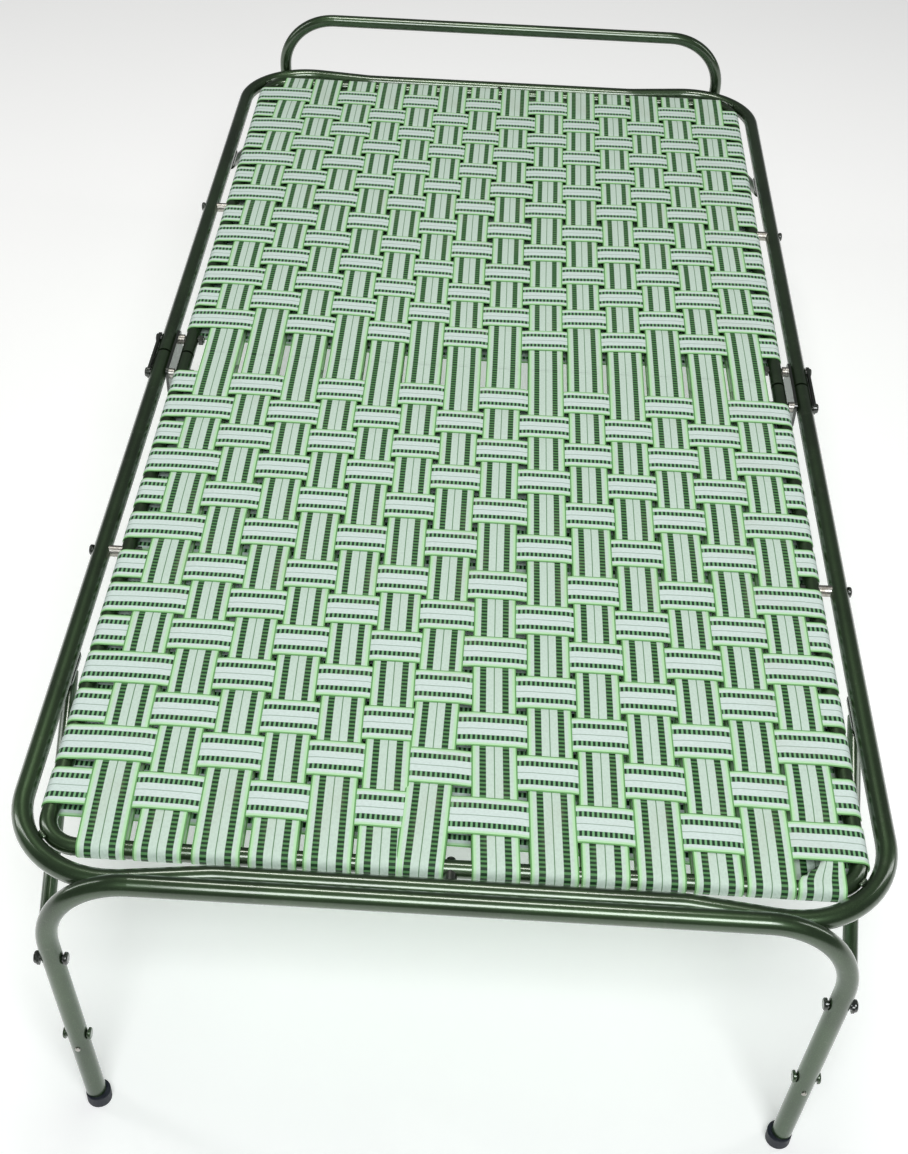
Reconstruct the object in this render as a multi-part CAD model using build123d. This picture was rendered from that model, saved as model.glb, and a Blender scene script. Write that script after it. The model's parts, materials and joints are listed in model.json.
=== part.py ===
"""Folding cot: a steel tube bed that folds upward in the middle.

X is the width, Y the length (foot end at -Y, head end at +Y) and Z is up.
The origin is on the floor under the middle of the bed.  Every piece of one
end is drawn at the foot end, on the +X side, and mirrored from there.
"""
from build123d import *
import math
import os

os.makedirs("parts", exist_ok=True)

# Overall size
OVERALL_WIDTH = 914.0        # across the outer rails
OVERALL_LENGTH = 1828.0      # along the outer rails
RAIL_HEIGHT = 342.0          # centre line of the rails above the floor

# Tubes
RAIL_D, RAIL_WALL = 22.2, 1.6
INNER_D, INNER_WALL = 19.0, 1.4
FOOT_LEG_D, HEAD_LEG_D, LEG_WALL = 22.2, 20.0, 1.6
BRACE_D, BRACE_WALL = 16.0, 1.5
CROSSBAR_D = 19.0
OUTER_CORNER_R = 105.0
INNER_CORNER_R = 38.0
LEG_BEND_R = 91.0
WELD_R, WELD_LENGTH, WELD_GAP, WELD_ROUND = 2.6, 12.0, 0.2, 1.4
SEAM_HALF_GAP = 2.0          # half the gap between the two halves' rail ends

# Plan of the two rails of one half
RAIL_X = OVERALL_WIDTH / 2 - RAIL_D / 2
RAIL_Y = OVERALL_LENGTH / 2 - RAIL_D / 2
END_PULL = 12.0              # the outer end tube steps in by this, towards the inner one
END_STEP_X, END_FLAT_X = 330.0, 235.0   # where the step starts and where it is complete
INNER_X = 414.0
INNER_Y = 864.5
MID_BOLT_Y = 416.0

# Middle hinge: each half turns on its own bolt
HINGE_Y = 42.0
PLATE_T = 4.0
OUTER_PLATE_T = 3.5
PLATE_GAP = 0.4              # free space between a plate and the turning rail
INNER_PLATE_X = RAIL_X - RAIL_D / 2 - PLATE_GAP - PLATE_T   # its face towards the middle
OUTER_PLATE_X = RAIL_X + RAIL_D / 2 + PLATE_GAP
OUTER_PLATE_H = 17.0
INNER_PLATE_OUTLINE = ((-52, 11), (52, 11), (52, -24), (26, -62), (26, -122), (-26, -122),
                       (-26, -62), (-52, -24))   # Y and height from the rails
INNER_PLATE_CORNER_R = 7.0

# Legs
LEG_SPREAD_Y = 943.8         # feet of both end legs, from the middle
TUBE_END_Z = 5.0             # rubber left under the tube's end
FOOT_LEG_TOP = (411.0, 922.6, RAIL_HEIGHT + 20.0)
FOOT_LEG_X = 377.8           # the foot leg's tubes close in towards the floor
HEAD_LEG_TOP_Z = RAIL_HEIGHT + 103.0
HEAD_LEG_X = 389.5
HEAD_LEG_Y = 915.5           # at rail height
PIVOT_DROP = 99.5            # leg pivots below the rails
CROSS_BOLT_DROP = 225.0
RIVET_DROP = 238.0
LEG_SEAT_GAP = 0.8           # room under a bolt head for the leg's slant
PIVOT_SEAT_GAP = 1.1         # the same, where the leg turns
LEG_HEAD_H = 3.2
CENTRE_LEG_X = INNER_PLATE_X - RAIL_D / 2
CENTRE_LEG_TOP = RAIL_HEIGHT - 60.0
CENTRE_BOLT_DROPS = (80.0, 106.0)
CROSSBAR_Z = 120.0
SHOE_R, SHOE_H, SHOE_OFFSET = 13.6, 16.0, 1.4
SHOE_TOP_ROUND, SHOE_SOLE_ROUND = 0.8, 1.2

# Leg braces, each with a flat ear set in its lower end
EAR_T, EAR_W = 2.5, 12.0
EAR_GAP = 1.3                # free space between the leg's tube and the ear
EAR_REACH = 37.0             # from the pivot to the ear's far end
EAR_NOSE, EAR_INSET = 8.0, 5.0
EAR_BORE_LENGTH = 60.0
BRACE_TOP = (445.0, -600.0, RAIL_HEIGHT - 22.95)   # its end just meets the saddle
SADDLE_W, SADDLE_LENGTH, SADDLE_T = 19.0, 52.0, 4.0
SADDLE_Y, SADDLE_CORNER_R = -604.0, 5.0
SADDLE_SCREW_Y, SADDLE_SCREW_LENGTH = -587.0, 10.0

# Fasteners
M8_R, M8_HOLE_R, M8_RUNNING_R = 4.0, 4.1, 4.05
M8_HEAD_R, M8_HEAD_H = 6.8, 4.0
M8_NUT_AF, M8_NUT_T = 13.0, 6.5
DOME_BORE = 2.0              # how deep a bolt runs into a dome nut
M6_R, M6_HOLE_R = 3.0, 3.1
M6_HEAD_R, M6_HEAD_H = 5.0, 3.5
M6_NUT_AF, M6_NUT_T = 10.0, 5.0
NUT_CHAMFER = 0.8
BOLT_TAIL = 1.5              # thread showing past a nut
HEAD_ROUNDING = 0.6          # share of a bolt head's height
RIVET_R, RIVET_HEAD_R, RIVET_HEAD_H = 1.6, 2.8, 1.6
SPACER_R = 7.0
HOLE_MARGIN = 5.0            # a hole's cutter runs this far past the metal

# Webbing
STRAP_W, STRAP_T = 50.0, 1.6
LENGTH_STRAP_W = 48.0
CROSS_Z = RAIL_HEIGHT + INNER_D / 2 + 0.2
LENGTH_Z = CROSS_Z + STRAP_T + 0.2
CROSS_CENTRES = {                    # hand-spaced, from the hinge to the end tube
    "foot": (72, 130, 188, 248, 311, 377, 449, 506, 563, 622, 681, 740, 802),
    "head": (78, 136, 196, 256, 318, 379, 446, 506, 564, 624, 682, 740, 800)}
LENGTH_CENTRES = (-366, -306, -246, -190, -135, -81, -26, 30, 90, 145, 201, 257, 314, 371)
LENGTH_END_Y = 876.0
HINGE_STRAP_Y = 50.0         # where the lengthwise straps of a half stop
MIDDLE_STRAP_Y = 27.0

LOW = (Align.CENTER, Align.CENTER, Align.MIN)
HIGH = (Align.CENTER, Align.CENTER, Align.MAX)


def save(node, *shapes):
    """Write one node, as a single solid or a group of separate solids."""
    shape = shapes[0] if len(shapes) == 1 else Compound(children=list(shapes))
    export_step(shape, f"parts/{node}.step")


def left_right(shape):
    return [shape, mirror(shape, about=Plane.YZ)]


def at_end(shapes, end):
    """Shapes drawn at the foot end, taken to the end that is asked for."""
    return shapes if end == "foot" else [mirror(s, about=Plane.XZ) for s in shapes]


def rod(start, finish, radius):
    """A round bar from one point to another."""
    line = Line(start, finish)
    return sweep(Plane(origin=line @ 0, z_dir=line % 0) * Circle(radius), path=line)


def bent_rod(points, bend_r, radius):
    path = FilletPolyline(*points, radius=bend_r)
    return sweep(Plane(origin=path @ 0, z_dir=path % 0) * Circle(radius), path=path)


def bent_tube(points, bend_r, diameter, wall):
    return bent_rod(points, bend_r, diameter / 2) - bent_rod(points, bend_r, diameter / 2 - wall)


def across(shape, x, y, z):
    """Turn a shape drawn along Z to lie along X, with its +Z end outward."""
    return Pos(x, y, z) * Rot(0, 90, 0) * shape


def cross_hole(radius, y, z, x_from, x_to):
    length = x_to - x_from
    return across(Cylinder(radius, length, align=LOW), x_from, y, z)


def button_bolt(radius, length, head_r, head_h):
    """Head above Z = 0, shank below it."""
    head = Cylinder(head_r, head_h, align=LOW)
    head = fillet(head.edges().group_by(Axis.Z)[-1], head_h * HEAD_ROUNDING)
    return head + Cylinder(radius, length, align=HIGH)


def hex_nut(across_flats, thickness, bore_r):
    body = extrude(RegularPolygon(across_flats / math.sqrt(3), 6), thickness)
    body = chamfer(body.edges().group_by(Axis.Z)[-1], NUT_CHAMFER)
    return body - Cylinder(bore_r, thickness, align=LOW)


def inward_nut(x, y, z):
    """An M8 nut whose seat is at x and whose far side looks to the middle."""
    nut = hex_nut(M8_NUT_AF, M8_NUT_T, M8_HOLE_R)
    return Pos(x, y, z) * Rot(0, -90, 0) * nut


def dome_nut(x, y, z, height):
    """A low round nut whose seat is at x and whose dome looks to the middle."""
    nut = Cylinder(M8_HEAD_R, height, align=LOW)
    nut = fillet(nut.edges().group_by(Axis.Z)[-1], height * HEAD_ROUNDING)
    nut -= Cylinder(M8_HOLE_R, DOME_BORE, align=LOW)
    return Pos(x, y, z) * Rot(0, -90, 0) * nut


def rubber_shoe(x, y, tube):
    """A round shoe on the floor, with the tube that stands in it cut out."""
    shoe = Pos(x, y, 0) * Cylinder(SHOE_R, SHOE_H, align=LOW)
    shoe = fillet(shoe.edges().group_by(Axis.Z)[-1], SHOE_TOP_ROUND)
    shoe = fillet(shoe.edges().group_by(Axis.Z)[0], SHOE_SOLE_ROUND)
    return (shoe - tube).solid()


def rail_points(half_x, half_y, pull=0.0):
    z = RAIL_HEIGHT
    middle = []
    if pull:
        middle = [(-END_STEP_X, -half_y, z), (-END_FLAT_X, pull - half_y, z),
                  (END_FLAT_X, pull - half_y, z), (END_STEP_X, -half_y, z)]
    return [(-half_x, -SEAM_HALF_GAP, z), (-half_x, -half_y, z), *middle,
            (half_x, -half_y, z), (half_x, -SEAM_HALF_GAP, z)]


def leg_line(end):
    """Top corner and lower end of a leg tube's centre line, on the +X side."""
    if end == "foot":
        x, y, z = FOOT_LEG_TOP
        return (x, -y, z), (FOOT_LEG_X, -LEG_SPREAD_Y, TUBE_END_Z)
    slope = (LEG_SPREAD_Y - HEAD_LEG_Y) / (RAIL_HEIGHT - TUBE_END_Z)
    top_y = HEAD_LEG_Y - slope * (HEAD_LEG_TOP_Z - RAIL_HEIGHT)
    return (HEAD_LEG_X, -top_y, HEAD_LEG_TOP_Z), (HEAD_LEG_X, -LEG_SPREAD_Y, TUBE_END_Z)


def leg_point(end, z):
    top, low = leg_line(end)
    share = (top[2] - z) / (top[2] - low[2])
    return tuple(a + (b - a) * share for a, b in zip(top, low))


def leg_diameter(end):
    return FOOT_LEG_D if end == "foot" else HEAD_LEG_D


def corner_weld():
    """A bead in the notch above the two bends, where they come closest."""
    outer_x, outer_y = RAIL_X - OUTER_CORNER_R, RAIL_Y - OUTER_CORNER_R
    inner_x, inner_y = INNER_X - INNER_CORNER_R, INNER_Y - INNER_CORNER_R
    between = math.hypot(inner_x - outer_x, inner_y - outer_y)
    toward = (inner_x - outer_x) / between, (inner_y - outer_y) / between
    apart = OUTER_CORNER_R - between - INNER_CORNER_R
    to_outer = RAIL_D / 2 + WELD_R + WELD_GAP
    to_inner = INNER_D / 2 + WELD_R + WELD_GAP
    along = (apart ** 2 + to_inner ** 2 - to_outer ** 2) / (2 * apart)
    rise = math.sqrt(to_inner ** 2 - along ** 2)
    x = inner_x + toward[0] * (INNER_CORNER_R + along)
    y = inner_y + toward[1] * (INNER_CORNER_R + along)
    bead = Cylinder(WELD_R, WELD_LENGTH)
    bead = fillet(bead.edges().filter_by(GeomType.CIRCLE), WELD_ROUND)
    turned = math.degrees(math.atan2(toward[0], toward[1]))
    return Pos(x, -y, RAIL_HEIGHT + rise) * Rot(0, 0, turned) * Rot(0, 90, 0) * bead


def make_rails(end):
    """Outer and inner U rails of one half, their ties and corner welds."""
    z = RAIL_HEIGHT
    outer_points = rail_points(RAIL_X, RAIL_Y, END_PULL)
    inner_points = rail_points(INNER_X, INNER_Y)
    outer = bent_tube(outer_points, OUTER_CORNER_R, RAIL_D, RAIL_WALL)
    inner = bent_tube(inner_points, INNER_CORNER_R, INNER_D, INNER_WALL)

    reach = RAIL_X + RAIL_D
    for y, radius in ((-HINGE_Y, M8_RUNNING_R), (-MID_BOLT_Y, M8_HOLE_R)):
        hole = cross_hole(radius, y, z, -reach, reach)
        outer -= hole
        inner -= hole
    screw_hole = Pos(0, 0, z) * Rot(90, 0, 0) * Cylinder(M6_HOLE_R, RAIL_Y, align=LOW)
    outer -= screw_hole
    inner -= screw_hole
    for side in (-1, 1):
        outer -= Pos(side * RAIL_X, SADDLE_SCREW_Y, z) * Cylinder(M6_HOLE_R, RAIL_D, align=HIGH)
    save(f"outer_rail_{end}", *at_end([outer], end))
    save(f"inner_rail_{end}", *at_end([inner], end))

    outer_solid = bent_rod(outer_points, OUTER_CORNER_R, RAIL_D / 2)
    inner_solid = bent_rod(inner_points, INNER_CORNER_R, INNER_D / 2)
    save(f"corner_welds_{end}", *at_end(left_right(corner_weld()), end))

    spacer = cross_hole(SPACER_R, -MID_BOLT_Y, z, INNER_X, RAIL_X) - outer_solid - inner_solid
    spacer -= cross_hole(M8_HOLE_R, -MID_BOLT_Y, z, INNER_X, RAIL_X)
    save(f"rail_spacers_{end}", *at_end(left_right(spacer.solid()), end))

    seat = RAIL_X + RAIL_D / 2
    nut_x = INNER_X - INNER_D / 2
    bolt = button_bolt(M8_R, seat - nut_x + M8_NUT_T + BOLT_TAIL, M8_HEAD_R, M8_HEAD_H)
    save(f"rail_bolts_{end}", *at_end(left_right(across(bolt, seat, -MID_BOLT_Y, z)), end))
    save(f"rail_nuts_{end}", *at_end(left_right(inward_nut(nut_x, -MID_BOLT_Y, z)), end))

    tie_length = RAIL_Y - END_PULL - INNER_Y
    tie = Pos(0, -INNER_Y, z) * Rot(90, 0, 0) * Cylinder(SPACER_R, tie_length, align=LOW)
    tie = tie - outer_solid - inner_solid - screw_hole
    save(f"end_spacer_{end}", *at_end([tie.solid()], end))
    screw = button_bolt(M6_R, tie_length + INNER_D / 2, M6_HEAD_R, M6_HEAD_H)
    screw = Pos(0, -INNER_Y + INNER_D / 2, z) * Rot(-90, 0, 0) * screw
    save(f"end_screw_{end}", *at_end([screw], end))


def make_leg(end):
    """A U leg with its cross bolts, rivets and rubber shoes."""
    top, low = leg_line(end)
    diameter = leg_diameter(end)
    points = [(-low[0], low[1], low[2]), (-top[0], top[1], top[2]), top, low]
    frame = bent_tube(points, LEG_BEND_R, diameter, LEG_WALL)
    pivot = leg_point(end, RAIL_HEIGHT - PIVOT_DROP)
    bolt_at = leg_point(end, RAIL_HEIGHT - CROSS_BOLT_DROP)
    reach = top[0] + diameter
    frame -= cross_hole(M8_RUNNING_R, pivot[1], pivot[2], -reach, reach)
    frame -= cross_hole(M8_HOLE_R, bolt_at[1], bolt_at[2], -reach, reach)
    save(f"{end}_leg_frame", *at_end([frame], end))

    seat = diameter / 2 + LEG_SEAT_GAP
    bolt = button_bolt(M8_R, 2 * seat + DOME_BORE, M8_HEAD_R, LEG_HEAD_H)
    bolt = across(bolt, bolt_at[0] + seat, bolt_at[1], bolt_at[2])
    save(f"leg_cross_bolts_{end}", *at_end(left_right(bolt), end))
    nut = dome_nut(bolt_at[0] - seat, bolt_at[1], bolt_at[2], LEG_HEAD_H)
    save(f"leg_cross_nuts_{end}", *at_end(left_right(nut), end))

    x, y, z = leg_point(end, RAIL_HEIGHT - RIVET_DROP)
    rivet = button_bolt(RIVET_R, LEG_WALL, RIVET_HEAD_R, RIVET_HEAD_H)
    rivet = Pos(x, y - diameter / 2, z) * Rot(90, 0, 0) * rivet
    rivet -= rod(low, leg_point(end, RAIL_HEIGHT - CROSS_BOLT_DROP), diameter / 2)
    save(f"leg_rivets_{end}", *at_end(left_right(rivet.solid()), end))

    tube = rod(low, leg_point(end, RAIL_HEIGHT / 2), diameter / 2)
    shoe = rubber_shoe(low[0] - SHOE_OFFSET, low[1], tube)
    save(f"rubber_feet_{end}", *at_end(left_right(shoe), end))


def make_leg_mounts(end):
    """The ear that holds each leg, its pivot bolt, brace and saddle."""
    px, py, pz = leg_point(end, RAIL_HEIGHT - PIVOT_DROP)
    rise = math.atan2(BRACE_TOP[2] - pz, BRACE_TOP[1] - py)
    tilt = Pos(px, py, pz) * Rot(math.degrees(rise), 0, 0)

    gap = leg_diameter(end) / 2 + EAR_GAP
    ear_length = EAR_REACH + EAR_NOSE
    ear = Pos(gap + EAR_T / 2, EAR_REACH - ear_length / 2, 0) * Box(EAR_T, ear_length, EAR_W)
    ear = fillet(ear.edges().filter_by(Axis.X).group_by(Axis.Y)[0], EAR_W / 2 - 0.2)
    ear = tilt * (ear - Rot(0, 90, 0) * Cylinder(M8_HOLE_R, EAR_BORE_LENGTH))
    save(f"leg_ears_{end}", *at_end(left_right(ear), end))

    seat = px + gap + EAR_T
    nut_x = px - leg_diameter(end) / 2 - PIVOT_SEAT_GAP
    bolt = button_bolt(M8_R, seat - nut_x + DOME_BORE, M8_HEAD_R, M8_HEAD_H)
    save(f"leg_pivot_bolts_{end}", *at_end(left_right(across(bolt, seat, py, pz)), end))
    nut = dome_nut(nut_x, py, pz, M8_HEAD_H)
    save(f"leg_pivot_nuts_{end}", *at_end(left_right(nut), end))

    saddle_top = RAIL_HEIGHT - RAIL_D / 2
    saddle = Pos(RAIL_X, SADDLE_Y, saddle_top) * Box(SADDLE_W, SADDLE_LENGTH, SADDLE_T, align=HIGH)
    saddle = fillet(saddle.edges().filter_by(Axis.Z), SADDLE_CORNER_R)
    saddle -= Pos(RAIL_X, SADDLE_SCREW_Y, RAIL_HEIGHT) * Cylinder(M6_HOLE_R, RAIL_D, align=HIGH)
    screw = Rot(180, 0, 0) * button_bolt(M6_R, SADDLE_SCREW_LENGTH, M6_HEAD_R, M6_HEAD_H)
    screw = Pos(RAIL_X, SADDLE_SCREW_Y, saddle_top - SADDLE_T) * screw
    save(f"brace_saddles_{end}", *at_end(left_right(saddle), end))
    save(f"brace_screws_{end}", *at_end(left_right(screw), end))

    reach = EAR_REACH - EAR_INSET
    start = (px + gap + EAR_T / 2, py + reach * math.cos(rise), pz + reach * math.sin(rise))
    brace = rod(start, BRACE_TOP, BRACE_D / 2) - rod(start, BRACE_TOP, BRACE_D / 2 - BRACE_WALL)
    save(f"leg_braces_{end}", *at_end(left_right(brace), end))


def length_straps(y_from, y_to):
    span = y_to - y_from
    strap = Box(LENGTH_STRAP_W, span, STRAP_T, align=LOW)
    middle_y = (y_from + y_to) / 2
    return [Pos(x, middle_y, LENGTH_Z) * strap for x in LENGTH_CENTRES]


def make_webbing(end):
    """Plain bars for the woven straps of one half."""
    width = 2 * (INNER_X + INNER_D / 2 + STRAP_T)
    strap = Box(width, STRAP_W, STRAP_T, align=LOW)
    crosswise = [Pos(0, -y, CROSS_Z) * strap for y in CROSS_CENTRES[end]]
    save(f"crosswise_straps_{end}", *at_end(crosswise, end))
    sign = -1 if end == "foot" else 1
    ends = sorted((sign * LENGTH_END_Y, sign * HINGE_STRAP_Y))
    save(f"lengthwise_straps_{end}", *length_straps(*ends))


def make_hinge():
    """Hinge plates, bolts, nuts and spacers of both sides."""
    z = RAIL_HEIGHT
    strip = extrude(Plane.YZ * SlotCenterToCenter(2 * HINGE_Y, OUTER_PLATE_H), OUTER_PLATE_T)
    outer = Pos(OUTER_PLATE_X, 0, z) * strip
    face = Plane.YZ * make_face(Polyline(*INNER_PLATE_OUTLINE, close=True))
    inner = Pos(INNER_PLATE_X, 0, z) * extrude(face, PLATE_T)
    inner = fillet(inner.edges().filter_by(Axis.X), INNER_PLATE_CORNER_R)
    hole_from = INNER_PLATE_X - HOLE_MARGIN
    for y in (-HINGE_Y, HINGE_Y):
        hole = cross_hole(M8_HOLE_R, y, z, hole_from, OUTER_PLATE_X + OUTER_PLATE_T + HOLE_MARGIN)
        outer -= hole
        inner -= hole
    for drop in CENTRE_BOLT_DROPS:
        inner -= cross_hole(M6_HOLE_R, 0, z - drop, hole_from, RAIL_X)
    save("hinge_plates_outer", *left_right(outer))
    save("hinge_plates_inner", *left_right(inner))

    seat = OUTER_PLATE_X + OUTER_PLATE_T
    nut_x = INNER_X - INNER_D / 2 - PLATE_GAP
    spacer_x = INNER_X + INNER_D / 2 + PLATE_GAP
    spacer_length = INNER_PLATE_X - spacer_x
    bolts, nuts, spacers = [], [], []
    for y in (-HINGE_Y, HINGE_Y):
        bolt = button_bolt(M8_R, seat - nut_x + M8_NUT_T + BOLT_TAIL, M8_HEAD_R, M8_HEAD_H)
        bolts += left_right(across(bolt, seat, y, z))
        nuts += left_right(inward_nut(nut_x, y, z))
        spacer = Cylinder(SPACER_R, spacer_length, align=LOW)
        spacer -= Cylinder(M8_HOLE_R, spacer_length, align=LOW)
        spacers += left_right(across(spacer, spacer_x, y, z))
    save("hinge_bolts", *bolts)
    save("hinge_nuts", *nuts)
    save("hinge_spacers", *spacers)


def make_centre_leg():
    """The middle stand: two uprights bolted to the hinge plates, and a bar."""
    low = (CENTRE_LEG_X, 0, TUBE_END_Z)
    top = (CENTRE_LEG_X, 0, CENTRE_LEG_TOP)
    upright = rod(low, top, RAIL_D / 2) - rod(low, top, RAIL_D / 2 - RAIL_WALL)
    bolts, nuts = [], []
    seat = INNER_PLATE_X + PLATE_T
    nut_x = CENTRE_LEG_X - RAIL_D / 2
    for drop in CENTRE_BOLT_DROPS:
        z = RAIL_HEIGHT - drop
        upright -= cross_hole(M6_HOLE_R, 0, z, nut_x - HOLE_MARGIN, seat + HOLE_MARGIN)
        bolt = button_bolt(M6_R, seat - nut_x + M6_NUT_T + BOLT_TAIL, M6_HEAD_R, M6_HEAD_H)
        bolts += left_right(across(bolt, seat, 0, z))
        nut = hex_nut(M6_NUT_AF, M6_NUT_T, M6_HOLE_R)
        nuts += left_right(Pos(nut_x, 0, z) * Rot(0, -90, 0) * nut)
    save("centre_leg_uprights", *left_right(upright))
    save("centre_leg_bolts", *bolts)
    save("centre_leg_nuts", *nuts)

    bar_ends = (-CENTRE_LEG_X, 0, CROSSBAR_Z), (CENTRE_LEG_X, 0, CROSSBAR_Z)
    bar = rod(*bar_ends, CROSSBAR_D / 2) - rod(*bar_ends, CROSSBAR_D / 2 - INNER_WALL)
    for solid in left_right(rod(low, top, RAIL_D / 2)):
        bar -= solid
    save("centre_leg_crossbar", max(bar.solids(), key=lambda s: s.volume))

    shoe = rubber_shoe(CENTRE_LEG_X, 0, rod(low, top, RAIL_D / 2))
    save("rubber_feet_centre", *left_right(shoe))


for end_name in ("foot", "head"):
    make_rails(end_name)
    make_leg(end_name)
    make_leg_mounts(end_name)
    make_webbing(end_name)
make_hinge()
make_centre_leg()
save("lengthwise_straps_middle", *length_straps(-MIDDLE_STRAP_Y, MIDDLE_STRAP_Y))
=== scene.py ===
"""Looks of the folding cot: woven webbing, enamel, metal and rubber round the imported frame."""

import json
import math
import random

import bpy
import numpy as np
from mathutils import Matrix, Vector


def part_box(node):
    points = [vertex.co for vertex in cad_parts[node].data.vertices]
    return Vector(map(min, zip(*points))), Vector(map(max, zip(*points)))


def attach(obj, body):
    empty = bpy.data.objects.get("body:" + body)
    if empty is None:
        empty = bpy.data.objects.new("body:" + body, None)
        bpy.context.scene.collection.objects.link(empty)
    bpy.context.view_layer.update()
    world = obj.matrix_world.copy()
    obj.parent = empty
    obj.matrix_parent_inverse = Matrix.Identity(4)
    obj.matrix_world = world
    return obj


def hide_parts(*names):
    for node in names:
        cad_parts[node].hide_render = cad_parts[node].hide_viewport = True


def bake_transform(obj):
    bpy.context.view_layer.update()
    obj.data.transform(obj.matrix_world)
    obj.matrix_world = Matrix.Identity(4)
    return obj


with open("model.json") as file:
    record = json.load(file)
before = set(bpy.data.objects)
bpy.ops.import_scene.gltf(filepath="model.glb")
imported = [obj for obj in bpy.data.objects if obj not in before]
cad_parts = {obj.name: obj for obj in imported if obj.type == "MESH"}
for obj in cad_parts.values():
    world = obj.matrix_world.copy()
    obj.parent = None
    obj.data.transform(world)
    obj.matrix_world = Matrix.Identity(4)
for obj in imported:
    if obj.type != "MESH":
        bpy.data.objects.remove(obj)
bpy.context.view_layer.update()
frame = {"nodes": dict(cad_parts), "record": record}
nodes = frame["nodes"]
random.seed(7)

MM = 0.001


# ---------------------------------------------------------------- material tools

class Graph:
    """A small helper that adds nodes to one material."""

    def __init__(self, name):
        self.material = bpy.data.materials.new(name)
        self.material.use_nodes = True
        self.tree = self.material.node_tree
        self.shader = self.tree.nodes["Principled BSDF"]

    def node(self, kind, **values):
        made = self.tree.nodes.new(kind)
        for key, value in values.items():
            setattr(made, key, value)
        return made

    def plug(self, value, socket):
        if isinstance(value, bpy.types.NodeSocket):
            self.tree.links.new(value, socket)
        else:
            socket.default_value = value

    def math(self, operation, *values, clamp=False):
        made = self.node("ShaderNodeMath", operation=operation, use_clamp=clamp)
        for value, socket in zip(values, made.inputs):
            self.plug(value, socket)
        return made.outputs[0]

    def step(self, value, low, high):
        """0 below low, 1 above high, smooth between them."""
        made = self.node("ShaderNodeMapRange", interpolation_type="SMOOTHSTEP")
        self.plug(value, made.inputs["Value"])
        made.inputs["From Min"].default_value = low
        made.inputs["From Max"].default_value = high
        return made.outputs[0]

    def scale(self, value, low, high):
        """A 0..1 value taken to low..high."""
        made = self.node("ShaderNodeMapRange")
        self.plug(value, made.inputs["Value"])
        made.inputs["To Min"].default_value = low
        made.inputs["To Max"].default_value = high
        return made.outputs[0]

    def mix(self, share, a, b):
        made = self.node("ShaderNodeMix", data_type="RGBA")
        self.plug(share, made.inputs[0])
        for value, socket in ((a, made.inputs[6]), (b, made.inputs[7])):
            self.plug(value if isinstance(value, bpy.types.NodeSocket) else rgba(value), socket)
        return made.outputs[2]

    def noise(self, where, scale, detail=3.0, roughness=0.55):
        made = self.node("ShaderNodeTexNoise")
        self.plug(where, made.inputs["Vector"])
        made.inputs["Scale"].default_value = scale
        made.inputs["Detail"].default_value = detail
        made.inputs["Roughness"].default_value = roughness
        return made.outputs["Fac"]

    def stretched(self, where, factors):
        made = self.node("ShaderNodeMapping")
        self.plug(where, made.inputs["Vector"])
        made.inputs["Scale"].default_value = factors
        return made.outputs[0]

    def object_place(self):
        return self.node("ShaderNodeTexCoord").outputs["Object"]

    def bump(self, height, strength, distance):
        made = self.node("ShaderNodeBump")
        made.inputs["Strength"].default_value = strength
        made.inputs["Distance"].default_value = distance
        self.plug(height, made.inputs["Height"])
        self.plug(made.outputs[0], self.shader.inputs["Normal"])

    def set(self, **values):
        for key, value in values.items():
            name = key.replace("_", " ").title().replace("Ior", "IOR")
            self.plug(value, self.shader.inputs[name])


def linear(c):
    c /= 255.0
    return c / 12.92 if c <= 0.04045 else ((c + 0.055) / 1.055) ** 2.4


def rgba(srgb):
    """A screen colour, 0..255, as the linear colour a socket takes."""
    return tuple(linear(c) for c in srgb) + (1.0,)


# ---------------------------------------------------------------- materials

def enamel(name, dark, light, metallic, rough_low, rough_high):
    """Metallic gloss paint: slow tone changes, fine flake, dust and a few scuffs to primer."""
    g = Graph(name)
    place = g.object_place()
    cloud = g.noise(place, 7.0, 4.0)
    flake = g.noise(place, 900.0, 2.0)
    dust = g.noise(place, 70.0, 5.0, 0.65)
    scuffs = g.step(g.noise(place, 130.0, 5.0, 0.72), 0.735, 0.75)
    rubbed = g.math("MULTIPLY", scuffs, g.step(g.noise(place, 5.0, 2.0), 0.56, 0.66))
    colour = g.mix(g.step(cloud, 0.3, 0.7), dark, light)
    colour = g.mix(g.math("MULTIPLY", g.step(flake, 0.5, 0.8), 0.3), colour,
                   tuple(min(255, c * 1.35 + 8) for c in light))
    colour = g.mix(g.math("MULTIPLY", g.step(dust, 0.55, 0.8), 0.18), colour, (128, 136, 118))
    colour = g.mix(rubbed, colour, (176, 180, 168))
    rough = g.scale(g.noise(place, 30.0, 3.0), rough_low, rough_high)
    rough = g.math("ADD", rough, g.math("MULTIPLY", rubbed, 0.3), clamp=True)
    g.set(base_color=colour, metallic=metallic, roughness=rough,
          coat_weight=1.0, coat_roughness=0.16, coat_ior=1.7)
    skin = g.noise(place, 320.0, 2.0)
    height = g.math("ADD", g.math("MULTIPLY", skin, 0.3), g.noise(place, 30.0, 2.0))
    height = g.math("SUBTRACT", height, g.math("MULTIPLY", rubbed, 0.6))
    g.bump(height, 0.1, 0.001)
    return g.material


def zinc():
    g = Graph("zinc")
    place = g.object_place()
    cloud = g.noise(place, 120.0, 4.0)
    grime = g.step(g.noise(place, 60.0, 4.0, 0.65), 0.52, 0.72)
    colour = g.mix(g.step(cloud, 0.3, 0.75), (196, 194, 188), (164, 160, 150))
    colour = g.mix(g.math("MULTIPLY", grime, 0.45), colour, (104, 92, 74))
    g.set(base_color=colour, metallic=1.0, roughness=g.scale(cloud, 0.24, 0.48))
    g.bump(g.noise(place, 900.0, 2.0), 0.2, 0.0004)
    return g.material


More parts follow.
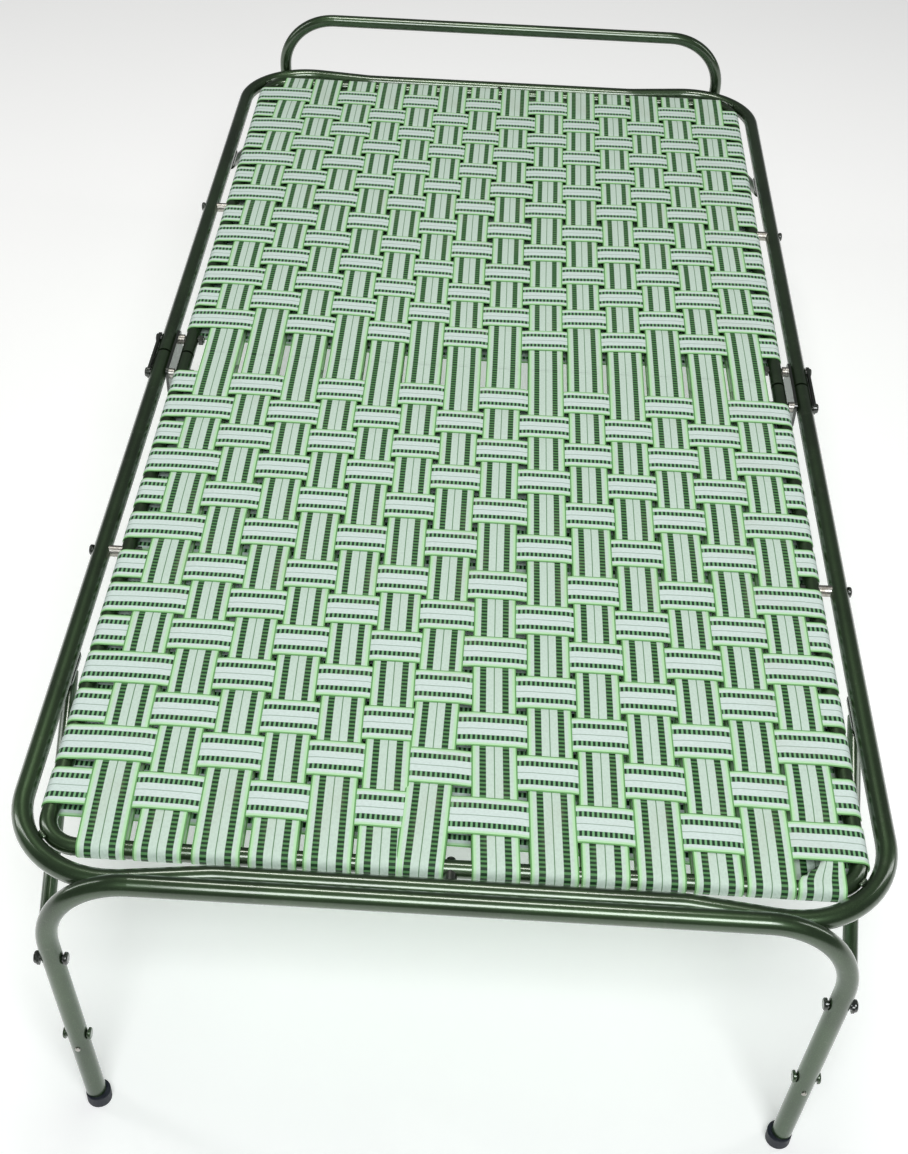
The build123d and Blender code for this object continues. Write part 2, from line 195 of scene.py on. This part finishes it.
def rubber():
    g = Graph("rubber")
    place = g.object_place()
    dust = g.step(g.noise(place, 70.0, 5.0, 0.7), 0.45, 0.78)
    colour = g.mix(g.math("MULTIPLY", dust, 0.4), (27, 31, 42), (78, 82, 88))
    g.set(base_color=colour, roughness=g.scale(dust, 0.5, 0.85), specular_ior_level=0.4)
    g.bump(g.noise(place, 700.0, 3.0), 0.25, 0.0006)
    return g.material


WEB_WIDTH = 0.05             # a strap's width and thread spacing as the weave draws them
THREAD = 0.00125


def webbing(name, white, ladder, rung, line, lines, period):
    """Woven plastic strap with two dark bands of rungs, a centre line and green selvages.

    The "strap" attribute holds (share of the width, metres along, side).  lines is how
    strongly the centre line shows and period is the spacing of the rungs.
    """
    g = Graph(name)
    place = g.node("ShaderNodeAttribute", attribute_name="strap").outputs["Vector"]
    split = g.node("ShaderNodeSeparateXYZ")
    g.plug(place, split.inputs[0])
    across, along = split.outputs[0], split.outputs[1]
    off = g.math("ABSOLUTE", g.math("SUBTRACT", across, 0.5))

    def wave(value, spacing):
        turn = g.math("MULTIPLY", value, 2 * math.pi / spacing)
        return g.math("MULTIPLY_ADD", g.math("SINE", turn), 0.5, 0.5)

    metres = g.math("MULTIPLY", across, WEB_WIDTH)
    weft = wave(along, THREAD)
    warp = wave(metres, THREAD)
    grain = g.noise(g.stretched(place, (22.0, 260.0, 1.0)), 1.0, 3.0)
    soil = g.noise(g.stretched(place, (1.6, 7.0, 1.0)), 1.0, 3.0)

    band = g.math("SUBTRACT", 1.0, g.step(g.math("ABSOLUTE", g.math("SUBTRACT", off, 0.256)),
                                          0.066, 0.078))
    rungs = g.step(wave(along, period), 0.42, 0.74)
    dark = g.mix(rungs, ladder, rung)
    middle = g.math("SUBTRACT", 1.0, g.step(off, 0.007, 0.015))
    mint = g.step(off, 0.385, 0.445)
    selvage = g.step(off, 0.462, 0.474)

    pale = g.mix(g.math("MULTIPLY", g.step(grain, 0.3, 0.75), 0.5), white,
                 tuple(c * 0.9 for c in white))
    pale = g.mix(g.math("MULTIPLY", g.math("MULTIPLY", weft, warp), 0.22), pale,
                 tuple(c * 0.8 for c in white))
    colour = g.mix(band, pale, dark)
    colour = g.mix(g.math("MULTIPLY", middle, lines), colour, line)
    colour = g.mix(g.math("MULTIPLY", mint, 0.85), colour, (184, 232, 176))
    colour = g.mix(selvage, colour, (112, 172, 102))
    colour = g.mix(g.math("MULTIPLY", g.step(soil, 0.5, 0.85), 0.25), colour, (168, 164, 138))
    g.set(base_color=colour, roughness=g.scale(grain, 0.42, 0.62), specular_ior_level=0.35,
          sheen_weight=0.12, sheen_roughness=0.4)
    relief = g.math("ADD", g.math("MULTIPLY", weft, 0.6), g.math("MULTIPLY", warp, 0.4))
    relief = g.math("ADD", relief, g.math("MULTIPLY", band, g.math("MULTIPLY", rungs, -0.6)))
    relief = g.math("ADD", relief, g.math("MULTIPLY", selvage, 1.2))
    g.bump(relief, 0.5, 0.0003)
    return g.material


GREEN = enamel("green_enamel", (44, 63, 38), (60, 84, 52), 0.82, 0.34, 0.46)
BLACK = enamel("black_enamel", (30, 36, 30), (44, 50, 42), 0.5, 0.3, 0.45)
ZINC = zinc()
RUBBER = rubber()
WEB_CROSS = webbing("webbing_cross", (220, 236, 230), (12, 42, 26), (126, 182, 130),
                    (88, 124, 96), 0.6, 0.0052)
WEB_LENGTH = webbing("webbing_length", (208, 228, 214), (12, 50, 22), (84, 138, 82),
                     (78, 124, 80), 0.9, 0.00565)
BY_SLOT = {"green_enamel": GREEN, "black_steel": BLACK, "zinc": ZINC, "rubber": RUBBER,
           "webbing_cross": WEB_CROSS, "webbing_length": WEB_LENGTH}

SLOT_OF = {s["node"]: s["material_slot"] for s in frame["record"]["subparts"]}
for name, o in nodes.items():
    o.data.materials.clear()
    o.data.materials.append(BY_SLOT[SLOT_OF[name]])


# ---------------------------------------------------------------- webbing

THICK = 1.0 * MM
SAG = 2.4 * MM               # how far the webbing hangs at the middle of the bed
LAYERS_APART = 0.7 * MM      # the lower crosswise run drops by this, the lengthwise one rises
LIFT = 0.72 * MM             # how far a strap rises or dips from the middle of the weave
CROSS_WIDE, LENGTH_WIDE = 49.5 * MM, 48.8 * MM
ON_TUBE = 0.15 * MM
FLAT = 20.0 * MM             # half of the flat part of a crossing
SEAM_LAP = 0.2 * MM          # the two halves' straps run this far past each other
# The foot end of the last strap: folded from here, then opening out again to the tube
GATHER_FROM, GATHER_FULL, OPENS_FROM = 0.79, 12 * MM, 0.828
GATHER_RINGS = 18
TUCKED, NARROWED, FOLD_DROP = 0.34, 0.3, 1.6 * MM
PROFILE = (0.0, 0.014, 0.05, 0.17, 0.33, 0.5, 0.67, 0.83, 0.95, 0.986, 1.0)
EDGE = (0.3, 0.85, 1.1, 1.0, 1.0, 1.0, 1.0, 1.0, 1.1, 0.85, 0.3)

lo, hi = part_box("inner_rail_foot")
TUBE_R = (hi.z - lo.z) / 2
TUBE_Z = (hi.z + lo.z) / 2
TUBE_X = hi.x - TUBE_R
TUBE_Y = -lo.y - TUBE_R
WRAP_R = TUBE_R + ON_TUBE + THICK / 2
WEAVE_Z = TUBE_Z + WRAP_R + LIFT


def strap_places(node, axis):
    """Middles of the plain bars of a CAD node along one axis."""
    ends = sorted({round(v.co[axis], 5) for v in nodes[node].data.vertices})
    return [(a + b) / 2 for a, b in zip(ends[::2], ends[1::2])]


CROSS_Y = {end: sorted(abs(y) for y in strap_places(f"crosswise_straps_{end}", 1))
           for end in ("foot", "head")}                     # from the hinge outward
LENGTH_X = strap_places("lengthwise_straps_foot", 0)
CROSS_DRIFT, LENGTH_DRIFT = 0.8 * MM, 0.9 * MM
FOOT_SHIFT, HEAD_SHIFT = 10.5 * MM, -2 * MM      # lengthwise straps, all together
BOW, BOW_HALF_X, BOW_POWER = 13.5 * MM, 0.36, 0.65    # crosswise straps of the head half
TILT, END_TILT, END_TILT_FROM, END_TILT_RUN = 1 * MM, 7 * MM, 0.66, 0.1   # of the foot half
# Sideways pull of single straps at the end tube, on top of what all of them share
PULLED = {"foot": {0: 4 * MM, 6: -15 * MM, 7: 5.5 * MM, 8: 4.5 * MM, 12: -3 * MM, 13: -10 * MM},
          "head": {0: 9 * MM}}


def smooth(t):
    t = min(1.0, max(0.0, t))
    return t * t * (3 - 2 * t)


def sag(x, y):
    return -SAG * math.cos(x / TUBE_X * math.pi / 2) * math.cos(y / TUBE_Y * math.pi / 2)


def column_x(end, column, y):
    """Where a lengthwise strap lies at y: all drift a little towards +X at the foot end."""
    s = abs(y) / TUBE_Y
    shared = FOOT_SHIFT * s * s if end == "foot" else HEAD_SHIFT * math.sin(math.pi * min(1.0, s))
    return LENGTH_X[column] + shared + PULLED[end].get(column, 0.0) * s ** 4


def row_y(end, row, x):
    """Where a crosswise strap lies at x: bowed in the head half, tilted near the foot end."""
    y = CROSS_Y[end][row]
    side = max(-1.0, min(1.0, x / BOW_HALF_X))
    if end == "head":
        bow = BOW * max(0.0, 1 - y / TUBE_Y) ** BOW_POWER
        return y + bow * (math.sin(side * math.pi / 2) ** 2 - 0.5)
    tilt = TILT + END_TILT * smooth((y - END_TILT_FROM) / END_TILT_RUN)
    return -y - tilt * side


def wander(size):
    """A slow sideways drift of a strap, different for each."""
    phase, rate = random.uniform(0, 6.28), random.uniform(3.0, 6.5)
    return lambda s: size * math.sin(rate * s + phase)


COLUMN_DRIFT = [wander(LENGTH_DRIFT) for _ in LENGTH_X]


def crosswise_is_over(end, row, column):
    """Rows count from the hinge and columns from -X, both from 0."""
    shift = 1 if end == "foot" else 0
    return (row + column + shift) % 2 == 0


def through(controls):
    """Positions and levels along a woven run: flat at each crossing, smooth between."""
    places = []
    for (p, a), (q, b) in zip(controls, controls[1:]):
        parts = 2 if a == b else 5
        for i in range(parts):
            t = i / parts
            places.append((p + (q - p) * t, a + (b - a) * smooth(t)))
    places.append(controls[-1])
    return places


def ribbon(rings, wide, closed, offset, widths=None):
    """Vertices, faces, strap places and flat-shading flags of one strap.

    Each ring is (point, across, up); widths holds a ring's own width map, where it has one.
    """
    n = len(PROFILE)
    verts, places, along = [], [], offset
    for i, (point, across, up) in enumerate(rings):
        if i:
            along += (point - rings[i - 1][0]).length
        shape = widths[i] if widths else None
        for side in (1, -1):
            order = range(n) if side == 1 else range(n - 1, -1, -1)
            for k in order:
                u = PROFILE[k]
                p = point + up * (side * THICK / 2 * EDGE[k])
                if shape:
                    dx, dz = shape(u)
                    p = p + across * dx + up * dz
                else:
                    p = p + across * ((u - 0.5) * wide)
                verts.append(p)
                places.append((u, along, 0.0 if side == 1 else 1.0))
    total = along + ((rings[0][0] - rings[-1][0]).length if closed else 0.0)
    size = 2 * n
    faces, corners = [], []
    last = len(rings) if closed else len(rings) - 1
    for i in range(last):
        j = (i + 1) % len(rings)
        for k in range(size):
            m = (k + 1) % size
            quad = (i * size + k, i * size + m, j * size + m, j * size + k)
            faces.append(quad)
            here = [places[v] for v in quad]
            if j == 0:
                here[2] = (here[2][0], total, here[2][2])
                here[3] = (here[3][0], total, here[3][2])
            corners.append(here)
    if not closed:
        for ring, flip in ((0, False), (len(rings) - 1, True)):
            for k in range(n - 1):
                a, b = ring * size + k, ring * size + k + 1
                c, d = ring * size + size - 2 - k, ring * size + size - 1 - k
                quad = (a, d, c, b) if not flip else (a, b, c, d)
                faces.append(quad)
                corners.append([places[v] for v in quad])
    flats = [False] * (last * size) + [True] * (len(faces) - last * size)
    return verts, faces, corners, flats


def mesh_of(name, pieces, material):
    verts, faces, corners, flats = [], [], [], []
    for v, f, c, flat in pieces:
        base = len(verts)
        verts += v
        faces += [tuple(i + base for i in quad) for quad in f]
        corners += c
        flats += flat
    mesh = bpy.data.meshes.new(name)
    mesh.from_pydata(verts, [], faces)
    made = mesh.attributes.new("strap", "FLOAT_VECTOR", "CORNER")
    made.data.foreach_set("vector", np.array(corners, np.float32).reshape(-1))
    mesh.polygons.foreach_set("use_smooth", [not flat for flat in flats])
    mesh.update()
    mesh.materials.append(material)
    o = bpy.data.objects.new(name, mesh)
    bpy.context.scene.collection.objects.link(o)
    mesh.validate()
    return o


def framed(points, across_of, closed):
    """Rings of (point, across, up) from a centre line; up looks out of the loop."""
    rings, count = [], len(points)
    for i, p in enumerate(points):
        a = points[i - 1] if (i or closed) else p
        b = points[(i + 1) % count] if (i < count - 1 or closed) else p
        along = (b - a).normalized()
        across = across_of(p)
        up = along.cross(across).normalized()
        rings.append((p, across, up))
    return rings


def turn(centre_a, centre_z, start, finish, steps=9):
    """Points of an arc round a tube, as (distance along the bed or across it, height)."""
    made = []
    for i in range(steps + 1):
        a = math.radians(start + (finish - start) * i / steps)
        made.append((centre_a + WRAP_R * math.cos(a), centre_z + WRAP_R * math.sin(a)))
    return made


def cross_strap(end, row):
    drift = wander(CROSS_DRIFT)
    controls = [(-TUBE_X, -LIFT)]
    for column in range(len(LENGTH_X)):
        level = LIFT if crosswise_is_over(end, row, column) else -LIFT
        at = column_x(end, column, row_y(end, row, LENGTH_X[column]))
        controls += [(at - FLAT, level), (at + FLAT, level)]
    controls.append((TUBE_X, -LIFT))
    top = [(x, WEAVE_Z + level + sag(x, row_y(end, row, x)))
           for x, level in through(controls)[1:-1]]
    left = turn(-TUBE_X, TUBE_Z, 270, 90)
    right = turn(TUBE_X, TUBE_Z, 90, -90)
    below = []
    for i in range(1, 24):
        x = TUBE_X * (1 - i / 12)
        drop = LAYERS_APART * smooth((TUBE_X - abs(x)) / (20 * MM))
        below.append((x, TUBE_Z - WRAP_R - drop + sag(x, row_y(end, row, x))))
    points = [Vector((x, row_y(end, row, x) + drift(x), z)) for x, z in left + top + right + below]
    rings = framed(points, lambda p: Vector((0, 1, 0)), True)
    return ribbon(rings, CROSS_WIDE, True, random.uniform(0, 0.005))


def pinched(s):
    """Width map of the gathered end of the last strap: its left part is folded under."""
    amount = smooth((s - GATHER_FROM) / GATHER_FULL)
    amount *= 1 - smooth((s - OPENS_FROM) / (TUBE_Y - OPENS_FROM))
    tuck, shrink = TUCKED * amount, 1 - NARROWED * amount

    def shape(u):
        if u < tuck:
            reach = 1 - tuck - (tuck - u) * 0.9
            down = -FOLD_DROP * smooth((tuck - u) / 0.04) * min(1.0, amount * 3)
        else:
            reach, down = 1 - u, 0.0
        return (0.5 - reach * shrink) * LENGTH_WIDE, down
    return shape


def length_strap(end, column):
    sign = -1 if end == "foot" else 1
    gathered = end == "foot" and column == len(LENGTH_X) - 1
    x0 = LENGTH_X[column]
    drift = COLUMN_DRIFT[column]
    controls = []
    for row in range(len(CROSS_Y[end])):
        level = -LIFT if crosswise_is_over(end, row, column) else LIFT
        y = abs(row_y(end, row, x0))
        controls += [(y - FLAT, level), (y + FLAT, level)]
    other = -LIFT if crosswise_is_over("head" if end == "foot" else "foot", 0, column) else LIFT
    controls = [(0.0, (other + controls[0][1]) / 2)] + controls + [(TUBE_Y, -LIFT)]
    run = through(controls)
    run = [(-SEAM_LAP, run[0][1]), (SEAM_LAP, run[0][1])] + run[1:]
    if gathered:
        run = [q for q in run if q[0] < GATHER_FROM] + [
            (GATHER_FROM + (TUBE_Y - GATHER_FROM) * i / GATHER_RINGS, -LIFT)
            for i in range(GATHER_RINGS + 1)]
    top = [(s, WEAVE_Z + level + sag(x0, s)) for s, level in run[:-1]]
    ends = turn(TUBE_Y, TUBE_Z, 90, -90)
    below = []
    for i in range(1, 25):
        s = TUBE_Y * (1 - i / 24)
        rise = LAYERS_APART * smooth((TUBE_Y - s) / (30 * MM))
        below.append((s, TUBE_Z - WRAP_R + rise + sag(x0, s)))
    points, keys = [], []
    for k, (s, z) in enumerate(top + ends + below):
        y = sign * s
        points.append(Vector((column_x(end, column, y) + drift(y), y, z)))
        keys.append(s if k < len(top) else None)
    rings = framed(points, lambda p: Vector((-sign, 0, 0)), False)
    rings = [(p, Vector((1, 0, 0)), up) for p, _, up in rings]
    widths = None
    if gathered:
        widths = [pinched(s if s is not None else TUBE_Y) for s in keys]
    verts, faces, corners, flats = ribbon(rings, LENGTH_WIDE, False, random.uniform(0, 0.005),
                                          widths)
    if sign > 0:
        faces, corners = [f[::-1] for f in faces], [c[::-1] for c in corners]
    return verts, faces, corners, flats


for end in ("foot", "head"):
    body = f"{end}_half"
    made = mesh_of(f"webbing_crosswise_{end}",
                   [cross_strap(end, row) for row in range(len(CROSS_Y[end]))], WEB_CROSS)
    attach(made, body)
    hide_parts(f"crosswise_straps_{end}")

    made = mesh_of(f"webbing_lengthwise_{end}",
                   [length_strap(end, column) for column in range(len(LENGTH_X))], WEB_LENGTH)
    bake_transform(made)
    if end == "foot":
        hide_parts(f"lengthwise_straps_{end}", "lengthwise_straps_middle")
    else:
        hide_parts(f"lengthwise_straps_{end}")


# ---------------------------------------------------------------- weld beads

BEAD_R, BEAD_LENGTH, BEAD_RINGS, BEAD_SIDES, BEAD_RIPPLES = 2.55 * MM, 11.8 * MM, 34, 16, 6


def weld_bead(centre, axis, rng):
    """A short bead of overlapping weld ripples, lumpy and tapered at both ends."""
    side = Vector((-axis.y, axis.x, 0)).normalized()
    rings, around = BEAD_RINGS, BEAD_SIDES
    verts, faces = [], []
    for i in range(rings):
        t = i / (rings - 1)
        taper = math.sqrt(max(0.0, 1 - (2 * t - 1) ** 6))
        ripple = 1 - 0.13 * abs(math.sin(t * BEAD_RIPPLES * math.pi))
        for k in range(around):
            a = 2 * math.pi * k / around
            r = BEAD_R * taper * ripple * (1 - 0.05 * rng.random()) + 0.02 * MM
            place = centre + axis * ((t - 0.5) * BEAD_LENGTH)
            verts.append(place + side * (r * math.cos(a)) + Vector((0, 0, r * math.sin(a))))
    for i in range(rings - 1):
        for k in range(around):
            m = (k + 1) % around
            faces.append((i * around + k, (i + 1) * around + k, (i + 1) * around + m,
                          i * around + m))
    faces.append(tuple(range(around)))
    faces.append(tuple(reversed(range((rings - 1) * around, rings * around))))
    return verts, faces


def weld_beads(end):
    rng = random.Random(11 if end == "foot" else 12)
    places = np.array([v.co for v in nodes[f"corner_welds_{end}"].data.vertices])
    verts, faces = [], []
    for side in (-1, 1):
        mine = places[places[:, 0] * side > 0]
        centre = (mine.min(axis=0) + mine.max(axis=0)) / 2
        axis = np.linalg.svd(mine - centre, full_matrices=False)[2][0]
        if axis[0] < 0:
            axis = -axis
        v, f = weld_bead(Vector(centre), Vector(axis).normalized(), rng)
        faces += [tuple(i + len(verts) for i in face) for face in f]
        verts += v
    mesh = bpy.data.meshes.new(f"weld_beads_{end}")
    mesh.from_pydata(verts, [], faces)
    mesh.polygons.foreach_set("use_smooth", [True] * len(mesh.polygons))
    mesh.materials.append(GREEN)
    made = bpy.data.objects.new(f"weld_beads_{end}", mesh)
    bpy.context.scene.collection.objects.link(made)
    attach(made, f"{end}_half")
    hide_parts(f"corner_welds_{end}")


for end in ("foot", "head"):
    weld_beads(end)


# ---------------------------------------------------------------- floor, light, camera

FLOOR_HALF = 9.0             # half a side of the square floor
FLOOR_GLOW = 0.28


def make_floor():
    g = Graph("studio_floor")
    place = g.object_place()
    cloud = g.noise(place, 0.6, 3.0)
    g.set(base_color=g.mix(cloud, (240, 240, 240), (246, 246, 245)), roughness=0.75,
          specular_ior_level=0.2, emission_color=(1.0, 1.0, 1.0, 1.0), emission_strength=FLOOR_GLOW)
    g.bump(g.noise(place, 60.0, 3.0), 0.03, 0.001)
    mesh = bpy.data.meshes.new("studio_floor")
    half = FLOOR_HALF
    mesh.from_pydata([(-half, -half, 0), (half, -half, 0), (half, half, 0), (-half, half, 0)],
                     [], [(0, 1, 2, 3)])
    mesh.materials.append(g.material)
    o = bpy.data.objects.new("studio_floor", mesh)
    bpy.context.scene.collection.objects.link(o)


def area_light(name, place, target, wide, high, watts, colour=(1, 1, 1)):
    data = bpy.data.lights.new(name, "AREA")
    data.shape = "RECTANGLE"
    data.size, data.size_y = wide, high
    data.energy = watts
    data.color = colour
    o = bpy.data.objects.new(name, data)
    bpy.context.scene.collection.objects.link(o)
    o.location = place
    o.rotation_euler = (Vector(target) - Vector(place)).to_track_quat("-Z", "Y").to_euler()


make_floor()
area_light("key", (0.3, -2.9, 3.4), (0, 0.0, 0.3), 2.4, 1.3, 105, (0.97, 0.99, 1.0))
area_light("top", (-0.2, 0.6, 3.6), (0, 0.5, 0.3), 0.5, 1.8, 44, (1.0, 0.985, 0.94))
area_light("left", (-3.2, 0.2, 1.9), (0, 0, 0.35), 0.5, 2.4, 16)
area_light("right", (3.2, 0.4, 1.9), (0, 0, 0.35), 0.5, 2.4, 16)

world = bpy.data.worlds.new("studio")
bpy.context.scene.world = world
world.use_nodes = True
world.node_tree.nodes["Background"].inputs[0].default_value = (0.95, 0.97, 1.0, 1.0)
world.node_tree.nodes["Background"].inputs[1].default_value = 0.1

CAMERA_PLACE = (0.0109, -1.8740, 1.6523)
CAMERA_DOWN, CAMERA_YAW, CAMERA_ROLL = 42.182, -1.139, 2.465
LENS_MM, SENSOR_MM = 50.57, 36.0


def make_camera():
    down, yaw, roll = (math.radians(a) for a in (CAMERA_DOWN, CAMERA_YAW, CAMERA_ROLL))
    forward = Vector((math.sin(yaw) * math.cos(down), math.cos(yaw) * math.cos(down),
                      -math.sin(down)))
    right = Vector((math.cos(yaw), -math.sin(yaw), 0))
    up = right.cross(forward)
    side = right * math.cos(roll) + up * math.sin(roll)
    high = up * math.cos(roll) - right * math.sin(roll)
    data = bpy.data.cameras.new("camera")
    data.lens, data.sensor_width = LENS_MM, SENSOR_MM
    o = bpy.data.objects.new("camera", data)
    turned = Matrix((side, high, -forward)).transposed().to_4x4()
    o.matrix_world = Matrix.Translation(CAMERA_PLACE) @ turned
    bpy.context.scene.collection.objects.link(o)
    bpy.context.scene.camera = o


make_camera()
bpy.context.scene.view_settings.view_transform = "Standard"
